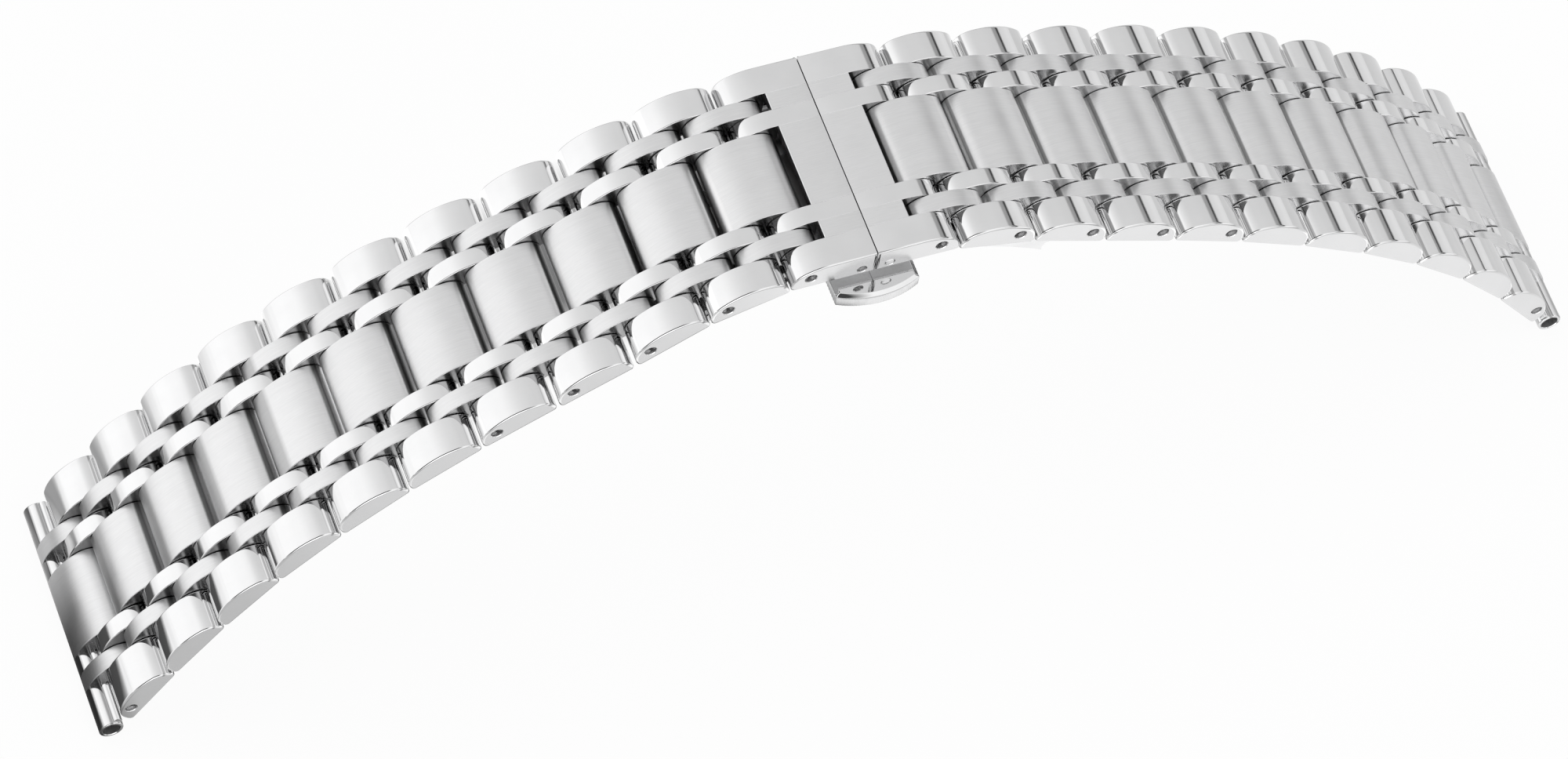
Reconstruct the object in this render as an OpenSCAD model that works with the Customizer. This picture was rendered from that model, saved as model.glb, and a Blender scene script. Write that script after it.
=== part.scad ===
// Steel watch bracelet with a two-sided folding clasp.
// X runs along the bracelet, Y across it, Z up through the clasp.
// The bracelet stands as an arch on its two end tubes, and the origin
// lies on the floor midway between them.

/* [Bracelet] */
// Width over the tube at the watch end
lug_w = 22; // [20.5:0.5:23]
// Width at the clasp
clasp_w = 19.6; // [19:0.1:20.4]
// Length from one link to the next of the same row
pitch = 7.1; // [7:0.05:7.4]
// Thickness of a link at its crown
thick = 2.5; // [2.4:0.05:2.8]
// Outer rows on each side of the clasp
rows = 10; // [6:1:10]

/* [Columns] */
// Width of the wide centre link
centre_link_w = 7.7; // [6.5:0.1:7.8]
// Width of the slim polished link beside it
polished_link_w = 1.6; // [1.4:0.05:1.7]
// Width of the slim brushed link
brushed_link_w = 1.55; // [1.4:0.05:1.6]
// Side gap between two links on one pin
side_gap = 0.05; // [0.04:0.01:0.08]

/* [Link shape] */
// Height of the hinge pins above a link's flat underside
pin_h = 1.25; // [1.2:0.01:1.3]
// Radius of the rounded end of a link
end_r = 1.8; // [1.7:0.01:1.85]
// Height of that round's centre above the underside, and radius of the lower corners
end_h = 0.35; // [0.3:0.01:0.5]
// Distance of that round's centre inside the hinge pin
end_in = 0.18; // [0.16:0.01:0.3]
// How far the end round stands proud where it meets the crown
crown_edge = 0.02; // [0.01:0.01:0.04]

/* [Link pins] */
// Radius of a link pin
pin_r = 0.5; // [0.4:0.01:0.6]
// Radial clearance of a pin in the links that it holds
pin_seat = 0.01; // [0.01:0.005:0.02]
// Radial clearance of a pin in the links that turn on it
pin_run = 0.03; // [0.02:0.01:0.05]
// Depth of a pin's end inside an open side hole
pin_recess = 0.35; // [0.2:0.05:0.6]
// Wall left outside a closed side hole
pin_wall = 0.55; // [0.4:0.05:0.8]
// Width of the slit in a split pin
split_w = 0.24; // [0.2:0.02:0.3]
// Length of the slit in a split pin
split_l = 2.4; // [1.5:0.1:2.6]
// Rows next to the clasp that can be taken out
removable_rows = 4; // [1:1:5]

/* [Watch end] */
// Outer radius of the spring bar tube
tube_r = 1.05; // [1:0.05:1.1]
// Radius of the spring bar bore
spring_bar_r = 0.78; // [0.76:0.01:0.8]
// Distance from the last hinge to the tube
tube_x = 3.4; // [3.3:0.05:3.6]
// Radius of the small bead between tube and links
bead_r = 0.4; // [0.3:0.02:0.42]

/* [Clasp] */
// Width of the seam between the two covers
seam = 0.06; // [0.04:0.01:0.1]
// Distance from the seam's middle to a cover's hinge pin
cover_pin_x = 5.6; // [5.5:0.05:6]
// Distance from the seam's middle to the notch walls
notch_x = 3.6; // [3.4:0.05:3.7]
// Thickness of a cover's roof over the arm
roof = 0.95; // [0.9:0.01:1]
// Distance from the seam's middle to an arm's free pin
blade_x = 1.2; // [1.15:0.05:1.3]
// Depth of that pin below the cover's top
blade_z = 1.8; // [1.78:0.01:1.82]
// Radius of that pin
blade_r = 0.4; // [0.35:0.01:0.45]
// Radius of the arm's knuckle on it
blade_knuckle_r = 0.75; // [0.7:0.01:0.77]

/* [Arms and base] */
// Width of an arm
arm_w = 14.8; // [14.2:0.1:14.8]
// Thickness of an arm
arm_t = 0.7; // [0.6:0.02:0.72]
// Radius of an arm's outer face
arm_bend_r = 25.8; // [25.5:0.1:26.5]
// Gap between the covers and the arms
arm_gap = 0.2; // [0.15:0.01:0.22]
// Distance from the seam's middle to a base hinge
base_hinge_x = 16.6; // [16.2:0.1:17]
// Radius of the base hinge knuckles
knuckle_r = 1.15; // [1.1:0.05:1.2]
// Radius of the base hinge pins
base_pin_r = 0.5; // [0.4:0.02:0.55]
// Width of the arm's knuckle at the base hinge
arm_knuckle_w = 9.9; // [9:0.1:10]
// Width of the slots in an arm
arm_slot_w = 2.4; // [2:0.1:2.8]
// Length of those slots between their round ends' centres
arm_slot_l = 5.5; // [4:0.1:6]
// Distance from the seam's middle to their inner ends' centres
arm_slot_x = 6.5; // [6:0.1:7]
// Distance between the middles of neighbouring slots
arm_slot_step = 3.6; // [3.2:0.1:3.8]
// Width of the base plate
base_w = 14; // [13.6:0.1:14.4]
// Thickness of the base plate
base_t = 0.9; // [0.8:0.05:1]
// Radius of the base plate's outer face
base_bend_r = 30; // [29:0.5:32]

/* [Latch and buttons] */
// Outer length of the latch housing across the bracelet
housing_w = 15; // [14.8:0.1:15]
// Outer width of the latch housing along the bracelet
housing_l = 7.6; // [7.4:0.1:7.8]
// Height of the latch housing
housing_h = 1.45; // [1.42:0.01:1.5]
// Depth of the housing's top below the covers' top
housing_top = 3.75; // [3.72:0.01:3.8]
// Thickness of the housing's lid and of the gap around the slides
lid_t = 0.25; // [0.22:0.01:0.28]
// Thickness of a button's slide
slide_t = 0.7; // [0.65:0.01:0.72]
// Width of a button's slide
slide_w = 6.4; // [6.2:0.1:6.4]
// Running gap around a slide
slide_gap = 0.05; // [0.03:0.01:0.05]
// Length of a button's head along the bracelet
button_l = 7.2; // [6.8:0.1:7.6]
// Height of a button's head
button_h = 1.45; // [1.3:0.05:1.5]
// Gap between the covers and a button's head
button_gap = 0.8; // [0.75:0.01:0.85]
// How far the corners of a button stand out from the covers
button_corner = 1.03; // [0.8:0.01:1.2]
// How far the round front stands out beyond the corners
button_bulge = 0.82; // [0.6:0.01:1]
// Travel of a button
button_travel = 0.8; // [0.6:0.05:0.8]
// Thickness of a button spring's wire
spring_wire = 0.12; // [0.1:0.01:0.14]
// Outer diameter of a button spring
spring_d = 0.62; // [0.5:0.02:0.66]
// Width of a latch hook across the bracelet
hook_w = 0.9; // [0.7:0.05:0.95]

/* [Drape] */
// Slope in degrees of the left side at every third link, from the clasp
left_drape = [9, 29, 26, 32, 39, 49, 56, 60];
// Slope in degrees of the right side at every third link, from the clasp
right_drape = [9, 23, 23, 28, 34, 42, 52, 57];

/* [Hidden] */
$fn = 48;
half_pitch = pitch / 2;
pin_up = thick - pin_h;
left = -1;
right = 1;
spans = 2 * rows + 1;

centre_out = centre_link_w / 2;
polished_in = centre_out + side_gap;
polished_out = polished_in + polished_link_w;
brushed_in = polished_out + side_gap;
brushed_out = brushed_in + brushed_link_w;
outer_in = brushed_out + side_gap;

tube_z = tube_r - pin_h + 0.05;

channel_w = arm_w + 0.2;
cover_mid = cover_pin_x - half_pitch / 2;
arm_top = thick + arm_gap;
arm_mid_r = arm_bend_r - arm_t / 2;
base_hinge_z = arm_top + arm_bend_r - sqrt(pow(arm_mid_r, 2) - pow(base_hinge_x, 2));
housing_floor = housing_top + housing_h;
slide_top = housing_top + lid_t + slide_gap;
button_top = thick + button_gap;
button_in = clasp_w / 2 - 1.35;
slide_in = 3.4;
middle_wall = 0.6;
front_chord = clasp_w / 2 + button_corner;
front_r = (pow(button_l / 2, 2) + pow(button_bulge, 2)) / (2 * button_bulge);
hook_x = 1.8;
hook_l = 0.7;
hook_y = 5.5;
hook_barb = 0.25;
hook_bottom = slide_top + slide_t - slide_gap;
window_in = hook_y - hook_barb - 0.05;
window_out = hook_y + hook_w + button_travel + 0.2;

steel = [0.78, 0.78, 0.79];
bright = [0.88, 0.88, 0.9];
dark_steel = [0.6, 0.6, 0.62];

// Slope of a link, from the hand-set slopes at every third link
function slope(side, i) =
    let (stations = side == left ? left_drape : right_drape,
         at = i * 20 / (spans - 1) / 3,
         n = floor(at),
         part = at - n)
    stations[n] + (stations[n + 1] - stations[n]) * part;

// Place of hinge i, out from the seam and up from the covers' top
function hinge_x(side, i) =
    i == 0 ? cover_pin_x : hinge_x(side, i - 1) + half_pitch * cos(slope(side, i - 1));
function hinge_z(side, i) =
    i == 0 ? -pin_up : hinge_z(side, i - 1) - half_pitch * sin(slope(side, i - 1));

// The end tube's axis in the same measure
function end_x(side) =
    let (a = slope(side, spans - 1))
    hinge_x(side, spans - 1) + tube_x * cos(a) + tube_z * sin(a);
function end_z(side) =
    let (a = slope(side, spans - 1))
    hinge_z(side, spans - 1) - tube_x * sin(a) + tube_z * cos(a);

// The whole arch leans until both end tubes touch the floor
lean = atan2(end_z(right) - end_z(left), end_x(left) + end_x(right));
function leaned(x, z) = [x * cos(lean) + z * sin(lean), -x * sin(lean) + z * cos(lean)];
left_foot = leaned(-end_x(left), end_z(left));
right_foot = leaned(end_x(right), end_z(right));
origin_x = (left_foot[0] + right_foot[0]) / 2;
origin_z = left_foot[1] - tube_r;

// Half the width of the bracelet at hinge i, which may be a fraction
function half_w(i) = clasp_w / 2 + (lug_w - clasp_w) / 2 * min(max(0, i / (spans - 1)), 1);

// Radius of an arc through a crown that runs into a round of radius r, dx away and drop lower
function crown_r(dx, drop, r) = (drop * drop + dx * dx - r * r) / (2 * (drop - r));

module in_place() {
    translate([-origin_x, 0, -origin_z]) rotate([0, lean, 0]) children();
}

module on_side(side) {
    rotate([0, 0, side == left ? 180 : 0]) children();
}

module at_link(side, i) {
    in_place() on_side(side)
        translate([hinge_x(side, i), 0, hinge_z(side, i)])
            rotate([0, slope(side, i), 0]) children();
}

// A profile drawn in X and Z, given a width across the bracelet
module across(y0, y1) {
    translate([0, y1, 0]) rotate([90, 0, 0]) linear_extrude(y1 - y0) children();
}

module across_middle(w) {
    across(-w / 2, w / 2) children();
}

// The same piece on both sides of the middle
module both() {
    children();
    mirror([0, 1, 0]) children();
}

module rod(r, w) {
    rotate([90, 0, 0]) cylinder(r = r, h = w, center = true);
}

// Link profile: flat underside with small round corners, domed crown, round ends.
// The first hinge is at 0, 0
module link_profile() {
    middle = half_pitch / 2;
    dx = middle - end_in;
    foot = dx + end_r - end_h;
    crown = crown_r(dx, thick - end_h, end_r - crown_edge);
    reach = dx + end_r * dx / (crown - end_r);
    intersection() {
        translate([middle, thick - pin_h - crown]) circle(crown, $fn = 96);
        union() {
            translate([middle - foot, -pin_h]) square([2 * foot, thick - end_h]);
            translate([middle - reach, end_h - pin_h]) square([2 * reach, thick]);
            for (s = [-1, 1]) {
                translate([middle + s * foot, end_h - pin_h]) circle(end_h);
                intersection() {
                    translate([middle + s * dx, end_h - pin_h]) circle(end_r);
                    translate([-pitch, end_h - pin_h]) square([3 * pitch, thick]);
                }
            }
        }
    }
}

// Profile of the end piece: half a link that runs down into the tube
module end_profile() {
    middle = half_pitch / 2;
    dx = tube_x - middle;
    drop = thick - pin_h - tube_z;
    crown = crown_r(dx, drop, tube_r - crown_edge);
    reach = dx + tube_r * dx / (crown - tube_r);
    intersection() {
        link_profile();
        translate([-pitch, -pin_h]) square([pitch + middle, thick]);
    }
    intersection() {
        translate([middle, thick - pin_h - crown]) circle(crown, $fn = 96);
        translate([middle - 0.01, -pin_h]) square([pitch, thick]);
        union() {
            translate([middle - 0.01, tube_z]) square([reach + 0.01, thick]);
            translate([middle - 0.01, -pin_h]) square([dx + 0.01, thick]);
            translate([tube_x, tube_z]) circle(tube_r);
        }
    }
}

// A link pin with its ends in the outer links. Split pins have a slit in each end
module link_pin(half_length, split) {
    difference() {
        rod(pin_r, 2 * half_length);
        if (split)
            both() translate([0, half_length - split_l / 2 + 0.5, 0])
                cube([split_w, split_l + 1, 2 * pin_r + 1], center = true);
    }
}

function pin_half(i, open) = half_w(i) - (open ? pin_recess : pin_wall + 0.05);
function bore_half(i, open) = open ? half_w(i) + 1 : half_w(i) - pin_wall;

// Outer link, cut in plan to the bracelet's taper
module outer_link(i, open) {
    reach = half_pitch + end_r;
    difference() {
        intersection() {
            across(outer_in, lug_w) link_profile();
            translate([0, 0, -thick])
                linear_extrude(2 * thick)
                    polygon([[-end_r, outer_in - 1], [reach, outer_in - 1],
                             [reach, half_w(i + reach / half_pitch)],
                             [-end_r, half_w(i - end_r / half_pitch)]]);
        }
        rod(pin_r + pin_seat, 2 * bore_half(i, false));
        translate([half_pitch, 0, 0]) rod(pin_r + pin_seat, 2 * bore_half(i + 1, open));
    }
}

module slim_polished_link() {
    difference() {
        across(polished_in, polished_out) link_profile();
        for (x = [0, half_pitch])
            translate([x, 0, 0]) rod(pin_r + pin_seat, lug_w);
    }
}

// Outer row: two outer links, two slim polished links and the pins that join them
module outer_row(side, k) {
    i = 2 * k - 1;
    open = k <= removable_rows || k == rows;
    at_link(side, i) {
        color(bright) both() {
            outer_link(i, open);
            slim_polished_link();
        }
        color(dark_steel) {
            link_pin(pin_half(i, false), false);
            translate([half_pitch, 0, 0]) link_pin(pin_half(i + 1, open), open);
        }
    }
}

// Centre row: the wide brushed link and two slim brushed links
module centre_row(side, k) {
    i = 2 * k - 2;
    at_link(side, i) color(steel) difference() {
        union() {
            across_middle(centre_link_w) link_profile();
            both() across(brushed_in, brushed_out) link_profile();
        }
        for (x = [0, half_pitch])
            translate([x, 0, 0]) rod(pin_r + pin_run, lug_w);
    }
}

// End piece: the last centre row in one with the spring bar tube
module end_piece(side) {
    at_link(side, spans - 1) color(steel) difference() {
        union() {
            across_middle(centre_link_w) end_profile();
            both() across(brushed_in, brushed_out) end_profile();
            translate([tube_x, 0, tube_z]) rod(tube_r, lug_w);
            translate([tube_x - tube_r, 0, tube_z]) rod(bead_r, lug_w);
        }
        rod(pin_r + pin_run, lug_w);
        translate([tube_x, 0, tube_z]) rod(spring_bar_r, lug_w + 1);
    }
}

// Cover: a flat roof by the seam, and prongs that take the first centre row
module cover(side) {
    in_place() on_side(side) color(steel) difference() {
        across_middle(clasp_w) {
            translate([seam / 2, -thick]) square([cover_mid - seam / 2, thick]);
            translate([cover_pin_x - half_pitch, -pin_up]) link_profile();
        }
        translate([notch_x, -polished_in, -thick - 1]) cube([pitch, 2 * polished_in, thick + 2]);
        both() translate([notch_x, polished_out, -thick - 1])
            cube([pitch, outer_in - polished_out, thick + 2]);
        translate([-1, -channel_w / 2, -thick - 1]) cube([notch_x + 1, channel_w, thick - roof + 1]);
        translate([cover_pin_x, 0, -pin_up]) rod(pin_r + pin_seat, clasp_w + 1);
        translate([blade_x, 0, -blade_z]) rod(blade_r + pin_seat, clasp_w + 1);
    }
}

// The pins that ride on a cover: its link pin, and the blade pin that the arm turns on
module cover_pins(side) {
    in_place() on_side(side) color(dark_steel) {
        translate([cover_pin_x, 0, -pin_up]) link_pin(clasp_w / 2 - pin_recess, true);
        translate([blade_x, 0, -blade_z])
            rod(blade_r, clasp_w - (side == left ? 2 * pin_recess : 0.06));
    }
}

// Arc of sheet metal seen from the side
module arc_profile(top, bend_r, t, x0, x1) {
    intersection() {
        difference() {
            translate([0, -top - bend_r]) circle(bend_r, $fn = 180);
            translate([0, -top - bend_r]) circle(bend_r - t, $fn = 180);
        }
        translate([x0, -top - bend_r]) square([x1 - x0, bend_r + 1]);
    }
}

module slot_cut(x0, x1) {
    depth = base_hinge_z + arm_t;
    for (x = [x0, x1])
        translate([x, 0, -depth]) cylinder(d = arm_slot_w, h = depth);
    translate([x0, -arm_slot_w / 2, -depth]) cube([x1 - x0, arm_slot_w, depth]);
}

// Arm: a curved strip with a knuckle at each end and two latch hooks
module arm(side) {
    neck_x = blade_x + blade_knuckle_r + 0.2;
    shoulder_x = base_hinge_x - 1.8;
    in_place() on_side(side) color(bright) difference() {
        union() {
            across_middle(arm_w) arc_profile(arm_top, arm_bend_r, arm_t, neck_x - 0.3, shoulder_x);
            across_middle(arm_knuckle_w)
                arc_profile(arm_top, arm_bend_r, arm_t, shoulder_x - 0.5, base_hinge_x);
            translate([base_hinge_x, 0, -base_hinge_z]) rod(knuckle_r, arm_knuckle_w);
            translate([blade_x, 0, -blade_z]) rod(blade_knuckle_r, arm_w);
            across_middle(arm_w) polygon([
                [blade_x + 0.1, -blade_z + blade_knuckle_r - 0.1],
                [neck_x + 0.3, -arm_top - 0.05],
                [neck_x, -arm_top - arm_t + 0.1],
                [blade_x + 0.25, -blade_z - blade_knuckle_r + 0.15]]);
            both() across(hook_y, hook_y + hook_w)
                translate([hook_x, -hook_bottom]) square([hook_l, hook_bottom - arm_top - 0.3]);
            both() across(hook_y - hook_barb, hook_y + 0.1)
                translate([hook_x, -hook_bottom]) square([hook_l, hook_barb]);
        }
        translate([base_hinge_x, 0, -base_hinge_z]) rod(base_pin_r + pin_run, base_w);
        translate([blade_x, 0, -blade_z]) rod(blade_r + pin_run, arm_w + 1);
        for (n = [-1 : 1])
            translate([0, n * arm_slot_step, 0]) slot_cut(arm_slot_x, arm_slot_x + arm_slot_l);
    }
}

// Depth of the middle of the base plate's sheet, x away from the seam's middle
function plate_depth(x) =
    housing_floor + base_bend_r - sqrt(pow(base_bend_r - base_t / 2, 2) - pow(x, 2));

// Side view of the web that carries a base hinge on the plate's end
module ear_profile() {
    inner = base_hinge_x - knuckle_r;
    polygon([[inner, -base_hinge_z], [base_hinge_x + knuckle_r, -base_hinge_z],
             [base_hinge_x, -plate_depth(base_hinge_x)], [inner, -plate_depth(inner)]]);
}

// Base plate: curved against the wrist, with a land for the housing and ears for the arms
module base_plate() {
    land = housing_l / 2 + 0.2;
    plate_x = base_hinge_x - knuckle_r - 0.25;
    ear_in = arm_knuckle_w / 2 + 0.1;
    in_place() color(steel) difference() {
        union() {
            across_middle(base_w)
                arc_profile(housing_floor, base_bend_r, base_t, -plate_x, plate_x);
            translate([-land, -base_w / 2, -housing_floor - base_t / 2])
                cube([2 * land, base_w, base_t / 2]);
            for (side = [left, right]) on_side(side) both() {
                across(ear_in, base_w / 2) {
                    arc_profile(housing_floor, base_bend_r, base_t, plate_x - 0.5, base_hinge_x);
                    ear_profile();
                }
                translate([base_hinge_x, (ear_in + base_w / 2) / 2, -base_hinge_z])
                    rod(knuckle_r, base_w / 2 - ear_in);
            }
        }
        for (side = [left, right]) on_side(side)
            translate([base_hinge_x, 0, -base_hinge_z]) rod(base_pin_r + pin_seat, base_w + 1);
    }
}

module base_hinge_pins() {
    in_place() color(dark_steel)
        for (side = [left, right]) on_side(side)
            translate([base_hinge_x, 0, -base_hinge_z]) rod(base_pin_r, base_w - 0.1);
}

// Latch housing: a low box with a slideway from each end and windows for the hooks
module latch_housing() {
    bay_w = slide_w + 2 * slide_gap;
    bay_t = slide_t + 2 * slide_gap;
    window_l = hook_x + hook_l + 0.45;
    in_place() color(steel) difference() {
        translate([-housing_l / 2, -housing_w / 2, -housing_floor])
            cube([housing_l, housing_w, housing_h]);
        both() translate([-bay_w / 2, middle_wall / 2, -slide_top - slide_t - slide_gap])
            cube([bay_w, housing_w, bay_t]);
        both() translate([-window_l, hook_y - hook_barb - 0.2, -slide_top - 0.1])
            cube([2 * window_l, hook_w + hook_barb + 0.5, lid_t + 0.3]);
    }
}

// Push button: a D-shaped head and the slide behind it, with a window for the hooks
module button() {
    window_l = hook_x + hook_l + 0.35;
    slide_out = button_in + 0.15;
    difference() {
        union() {
            translate([0, 0, -button_top - button_h]) linear_extrude(button_h)
                intersection() {
                    translate([-button_l / 2, button_in]) square([button_l, front_chord]);
                    translate([0, front_chord + button_bulge - front_r]) circle(front_r, $fn = 120);
                }
            translate([-slide_w / 2, slide_in, -slide_top - slide_t])
                cube([slide_w, slide_out - slide_in, slide_t]);
        }
        translate([-window_l, window_in, -slide_top - slide_t - 0.1])
            cube([2 * window_l, window_out - window_in, slide_t + 0.2]);
    }
}

module rear_button() {
    in_place() color(bright) button();
}

module front_button() {
    in_place() color(bright) mirror([0, 1, 0]) button();
}

// Round wire wound into an open coil along Y
module coil(d, wire, length, turns) {
    sides = 5;
    steps = 9;
    count = turns * steps;
    mid_r = (d - wire) / 2;
    points = [for (n = [0 : count]) for (s = [0 : sides - 1])
        let (a = 360 * n / steps, b = 360 * s / sides, r = mid_r + wire / 2 * cos(b))
        [r * cos(a), wire / 2 + (length - wire) * n / count + wire / 2 * sin(b), r * sin(a)]];
    walls = [for (n = [0 : count - 1]) for (s = [0 : sides - 1]) for (half = [0, 1])
        let (a = n * sides + s, b = n * sides + (s + 1) % sides)
        half == 0 ? [a, b, b + sides] : [a, b + sides, a + sides]];
    first = [for (s = [sides - 1 : -1 : 0]) s];
    last = [for (s = [0 : sides - 1]) count * sides + s];
    polyhedron(points, concat([first], walls, [last]), convexity = 6);
}

// Two small springs push a button out from the housing's middle wall
module button_springs() {
    room = slide_in - middle_wall / 2;
    for (x = [-1.5, 1.5])
        translate([x, middle_wall / 2 + 0.02, -slide_top - slide_t / 2])
            coil(spring_d, spring_wire, room - 0.04, 6);
}

module rear_button_springs() {
    in_place() color(dark_steel) button_springs();
}

module front_button_springs() {
    in_place() color(dark_steel) mirror([0, 1, 0]) button_springs();
}

function side_name(side) = side == left ? "left" : "right";
function row_name(side, kind, k) = str(side_name(side), "_", kind, "_row_", k < 10 ? "0" : "", k);

SIDE_NODES = [for (side = [left, right]) for (piece = ["cover", "cover_pins", "arm", "end_piece"])
    str(side_name(side), "_", piece)];
ROW_NODES = [for (side = [left, right]) for (kind = ["centre", "outer"]) for (k = [1 : rows])
    row_name(side, kind, k)];

base_plate();
latch_housing();
base_hinge_pins();
front_button();
rear_button();
front_button_springs();
rear_button_springs();
for (side = [left, right]) {
    cover(side);
    cover_pins(side);
    arm(side);
    end_piece(side);
    for (k = [1 : rows]) {
        centre_row(side, k);
        outer_row(side, k);
    }
}
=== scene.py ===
"""Looks of the steel watch bracelet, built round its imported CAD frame. Sizes in mm until a mesh is made."""
import math

import bmesh
import bpy
from mathutils import Matrix, Vector
from mathutils.geometry import tessellate_polygon


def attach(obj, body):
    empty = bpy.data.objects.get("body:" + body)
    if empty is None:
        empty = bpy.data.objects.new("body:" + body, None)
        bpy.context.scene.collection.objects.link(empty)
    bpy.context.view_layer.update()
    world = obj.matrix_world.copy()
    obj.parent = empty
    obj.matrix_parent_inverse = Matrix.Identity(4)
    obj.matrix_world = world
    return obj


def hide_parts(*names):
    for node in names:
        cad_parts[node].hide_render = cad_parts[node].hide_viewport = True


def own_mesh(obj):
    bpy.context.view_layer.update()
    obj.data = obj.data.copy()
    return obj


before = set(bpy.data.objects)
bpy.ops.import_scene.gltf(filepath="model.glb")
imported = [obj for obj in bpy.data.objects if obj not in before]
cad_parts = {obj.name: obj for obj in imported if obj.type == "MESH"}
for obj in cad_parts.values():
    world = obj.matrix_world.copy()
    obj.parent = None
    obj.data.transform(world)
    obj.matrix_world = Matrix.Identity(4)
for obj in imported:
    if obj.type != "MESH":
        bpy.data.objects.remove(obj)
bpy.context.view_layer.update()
MM = 0.001
LEFT, RIGHT = -1, 1
NAME = {LEFT: "left", RIGHT: "right"}

# The part's own sizes
ROWS, REMOVABLE = 10, 4
LUG_W, CLASP_W = 22.0, 19.6
PITCH, THICK, PIN_H = 7.1, 2.5, 1.25
HALF = PITCH / 2
MIDDLE = HALF / 2
PIN_UP = THICK - PIN_H
SPANS = 2 * ROWS + 1
SIDE_GAP = 0.05
CENTRE_OUT = 7.7 / 2
POLISHED_IN = CENTRE_OUT + SIDE_GAP
POLISHED_OUT = POLISHED_IN + 1.6
BRUSHED_IN = POLISHED_OUT + SIDE_GAP
BRUSHED_OUT = BRUSHED_IN + 1.55
OUTER_IN = BRUSHED_OUT + SIDE_GAP
END_R, END_H, END_IN, CORNER = 1.8, 0.35, 0.18, 0.35
PIN_R, PIN_RECESS, PIN_WALL, PIN_CLEAR = 0.5, 0.35, 0.55, 0.05
SPLIT_W, SPLIT_L = 0.24, 2.4
TUBE_R, BORE_R, TUBE_X, BEAD_R = 1.05, 0.78, 3.4, 0.4
TUBE_Z = TUBE_R - PIN_H + 0.05
TUBE_FOOT_X, TUBE_END = TUBE_X - 0.4, 178
SEAM, COVER_PIN_X, NOTCH_X, ROOF = 0.06, 5.6, 3.6, 0.95
BLADE_X, BLADE_Z, BLADE_R = 1.2, 1.8, 0.4
BLADE_RECESS = {LEFT: PIN_RECESS, RIGHT: 0.03}
CHANNEL = 7.5
BUTTON_L, BUTTON_H, BUTTON_TOP = 7.2, 1.45, 3.3
BUTTON_IN = CLASP_W / 2 - 1.35
FRONT_CHORD, BULGE = CLASP_W / 2 + 1.03, 0.82
SLIDE_TOP, SLIDE_T, SLIDE_W, SLIDE_IN = 4.05, 0.7, 6.4, 3.4
WINDOW_X, WINDOW_IN, WINDOW_OUT = 2.85, 5.2, 7.4
SPRING_D, SPRING_WIRE, SPRING_FOOT, SPRING_X = 0.62, 0.12, 0.32, 1.5
SPRING_L = SLIDE_IN - SPRING_FOOT - 0.02
DRAPE = {LEFT: [9, 29, 26, 32, 39, 49, 56, 60], RIGHT: [9, 23, 23, 28, 34, 42, 52, 57]}
DRAPE_STEP = 3

# Rolled edges, the faces that lead into them, and the depth of holes
WIDE_EDGE, BRUSHED_EDGE, POLISHED_EDGE, OUTER_EDGE = 0.07, 0.06, 0.1, 0.2
COVER_EDGE, COVER_SIDE_EDGE, JOINT_EDGE, TUBE_EDGE = 0.012, 0.18, 0.001, 0.12
END_LEAD, WALL_LEAD = 0.03, 0.04
SHARP_TURN = 32
SEAM_EDGE, NOTCH_EDGE = 0.05, 0.04
PIN_GAP = 0.01
PIN_HOLE, BLADE_HOLE, TUBE_HOLE = 1.6, 1.4, 6.0
IN_HOLE = 3  # the material number of every hole's walls


def slope(side, i):
    """Slope of link i in degrees, between those that are given at every third link."""
    at = i / DRAPE_STEP
    n = int(math.floor(at))
    s = DRAPE[side]
    return s[n] + (s[n + 1] - s[n]) * (at - n)


HINGE = {}
for side in (LEFT, RIGHT):
    x, z = COVER_PIN_X, -PIN_UP
    for i in range(SPANS):
        HINGE[side, i] = (x, z)
        a = math.radians(slope(side, i))
        x, z = x + HALF * math.cos(a), z - HALF * math.sin(a)


def turned(x, z, a):
    """A point turned round Y by the angle a."""
    return x * math.cos(a) + z * math.sin(a), z * math.cos(a) - x * math.sin(a)


def tube_middle(side):
    """The middle of the tube at the watch end, before the arch leans."""
    x, z = turned(TUBE_X, TUBE_Z, math.radians(slope(side, SPANS - 1)))
    return side * (HINGE[side, SPANS - 1][0] + x), HINGE[side, SPANS - 1][1] + z


# The whole arch leans until both tubes touch the floor
LEFT_TUBE, RIGHT_TUBE = tube_middle(LEFT), tube_middle(RIGHT)
LEAN = math.atan2(RIGHT_TUBE[1] - LEFT_TUBE[1], RIGHT_TUBE[0] - LEFT_TUBE[0])
LEFT_FOOT, RIGHT_FOOT = turned(*LEFT_TUBE, LEAN), turned(*RIGHT_TUBE, LEAN)
ORIGIN = ((LEFT_FOOT[0] + RIGHT_FOOT[0]) / 2, LEFT_FOOT[1] - TUBE_R)


def half_w(i):
    """Half the width of the bracelet at hinge i, which may be a fraction."""
    return CLASP_W / 2 + (LUG_W - CLASP_W) / 2 * min(max(0, i / (SPANS - 1)), 1)


def in_place(side=RIGHT):
    """Where one half of the clasp lies. X runs from the seam outwards, and the floor is at 0."""
    m = Matrix.Translation((-ORIGIN[0], 0, -ORIGIN[1])) @ Matrix.Rotation(LEAN, 4, "Y")
    return m @ Matrix.Rotation(math.pi, 4, "Z") if side == LEFT else m


def at_link(side, i):
    """Where link i lies, with its first pin at the origin."""
    x, z = HINGE[side, i]
    a = math.radians(slope(side, i))
    return in_place(side) @ Matrix.Translation((x, 0, z)) @ Matrix.Rotation(a, 4, "Y")


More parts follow.
